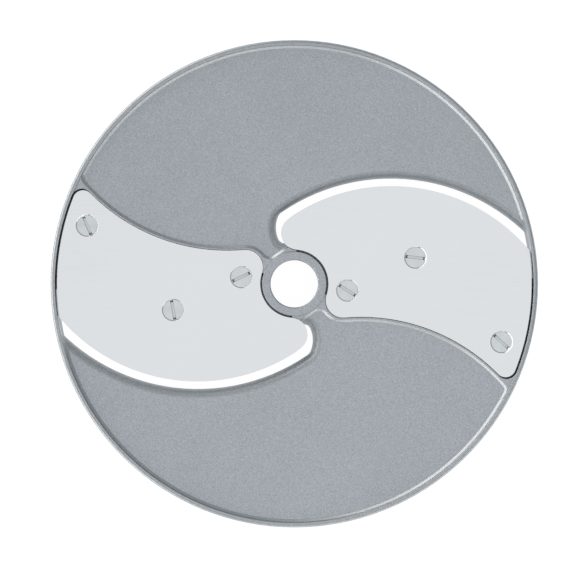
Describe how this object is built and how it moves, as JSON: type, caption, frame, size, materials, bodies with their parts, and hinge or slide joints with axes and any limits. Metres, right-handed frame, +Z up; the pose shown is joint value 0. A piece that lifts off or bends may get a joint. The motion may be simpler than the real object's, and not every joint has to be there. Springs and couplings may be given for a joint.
{
  "type": "food processor slicing disc",
  "caption": "Round cast disc with a hub ring, a raised rim and sickle-shaped slicing blades screwed over slanting windows.",
  "frame": {"origin": "middle of the hub's underside, on the axis of the shaft bore", "axes": "+Z up along the shaft bore to the cutting side, +X towards blade A, +Y the way blade A's edge leads"},
  "size_m": [0.205, 0.205, 0.022],
  "materials": {
    "casting": "fine bead-blasted cast aluminium, satin",
    "blades": "finely polished stainless steel",
    "screws": "turned and polished stainless steel"
  },
  "bodies": {
    "root": {"disc_casting": "casting", "blade_a": "blades", "blade_b": "blades", "screw_a_outer": "screws", "screw_a_middle": "screws", "screw_a_inner": "screws", "screw_b_outer": "screws", "screw_b_middle": "screws", "screw_b_inner": "screws"}
  },
  "joints": []
}
